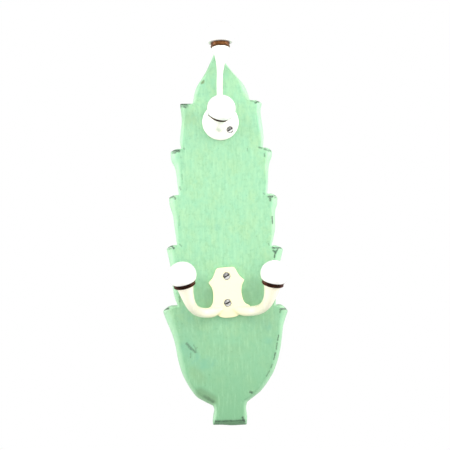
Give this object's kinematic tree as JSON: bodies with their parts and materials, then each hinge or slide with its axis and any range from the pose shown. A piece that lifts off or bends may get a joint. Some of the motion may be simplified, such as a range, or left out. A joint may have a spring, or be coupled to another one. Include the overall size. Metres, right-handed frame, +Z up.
{
  "type": "wall coat hook board",
  "caption": "Leaf-shaped painted wooden wall board with a hat-and-coat hook above, a double hook below, and white ceramic ball knobs on the hook ends.",
  "frame": {"origin": "on the board's flat back face, on its middle line and half way up the board", "axes": "+Z up the board towards its pointed end, +Y into the wall, +X to the viewer's right; hooks stand out towards -Y"},
  "size_m": [0.141, 0.0835, 0.4419],
  "materials": {
    "mint_paint": "worn matt mint-green paint on wood",
    "cream_enamel": "cream enamel on cast iron, satin gloss",
    "white_glaze": "glossy white glaze",
    "antique_copper": "dark antique copper with worn bright edges",
    "screw_steel": "dull bright steel with dark slots",
    "zinc_steel": "zinc-plated steel"
  },
  "bodies": {
    "root": {"board": "mint_paint", "upper_hook": "cream_enamel", "double_hook": "cream_enamel", "keyhole_hanger": "zinc_steel", "top_ball": "white_glaze", "top_collar": "antique_copper", "top_stud": "zinc_steel", "front_ball": "white_glaze", "front_collar": "antique_copper", "front_stud": "zinc_steel", "left_ball": "white_glaze", "left_collar": "antique_copper", "left_stud": "zinc_steel", "right_ball": "white_glaze", "right_collar": "antique_copper", "right_stud": "zinc_steel", "rose_screw_lower": "screw_steel", "rose_screw_upper": "screw_steel", "plate_screw_upper": "screw_steel", "plate_screw_lower": "screw_steel", "hanger_screw_lower": "screw_steel", "hanger_screw_upper": "screw_steel"}
  },
  "joints": []
}
